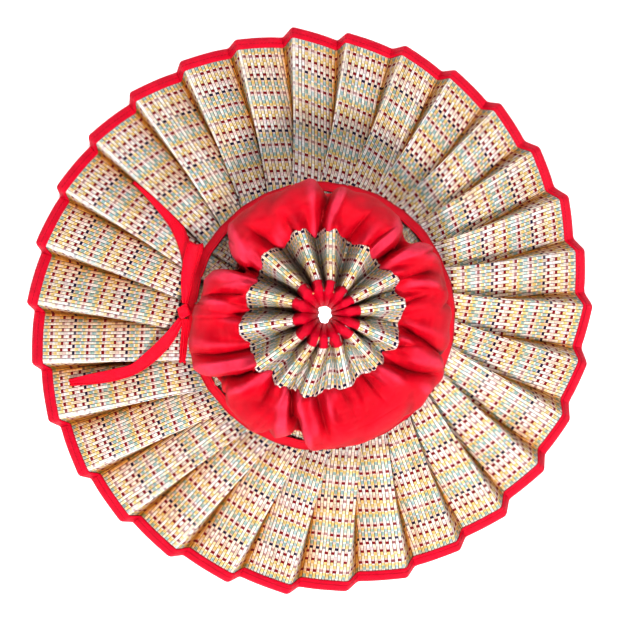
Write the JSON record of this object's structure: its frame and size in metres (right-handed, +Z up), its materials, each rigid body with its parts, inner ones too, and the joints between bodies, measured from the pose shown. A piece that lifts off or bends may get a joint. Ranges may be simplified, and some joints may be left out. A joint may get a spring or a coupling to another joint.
{
  "type": "pleated straw sun hat",
  "caption": "Soft sun hat: wide knife-pleated woven straw brim with a bound rim, gathered fabric crown band, small pleated straw top and a ribbon bow.",
  "frame": {"origin": "on the resting plane, under the middle of the rim's bounding box", "axes": "+Z up through the crown, -X towards the bow, +Y to the back of the brim with the bow on the left; the crown stands 8 mm towards +X and 3 mm towards -Y of the origin"},
  "size_m": [0.4164, 0.4156, 0.1316],
  "materials": {
    "woven_straw": "matt plaited paper straw with coloured wefts",
    "red_tape": "satin bias tape",
    "red_fabric": "smooth woven fabric with a soft sheen",
    "red_ribbon": "sewn fabric ribbon with a soft sheen"
  },
  "bodies": {
    "root": {"brim_mat": "woven_straw", "brim_binding": "red_tape", "crown_top_mat": "woven_straw", "crown_top_binding": "red_tape", "crown_puff": "red_fabric", "tie_band": "red_ribbon", "tie_knot": "red_ribbon", "tie_loop_upper": "red_ribbon", "tie_loop_lower": "red_ribbon", "tie_tail_upper": "red_ribbon", "tie_tail_lower": "red_ribbon"}
  },
  "joints": []
}
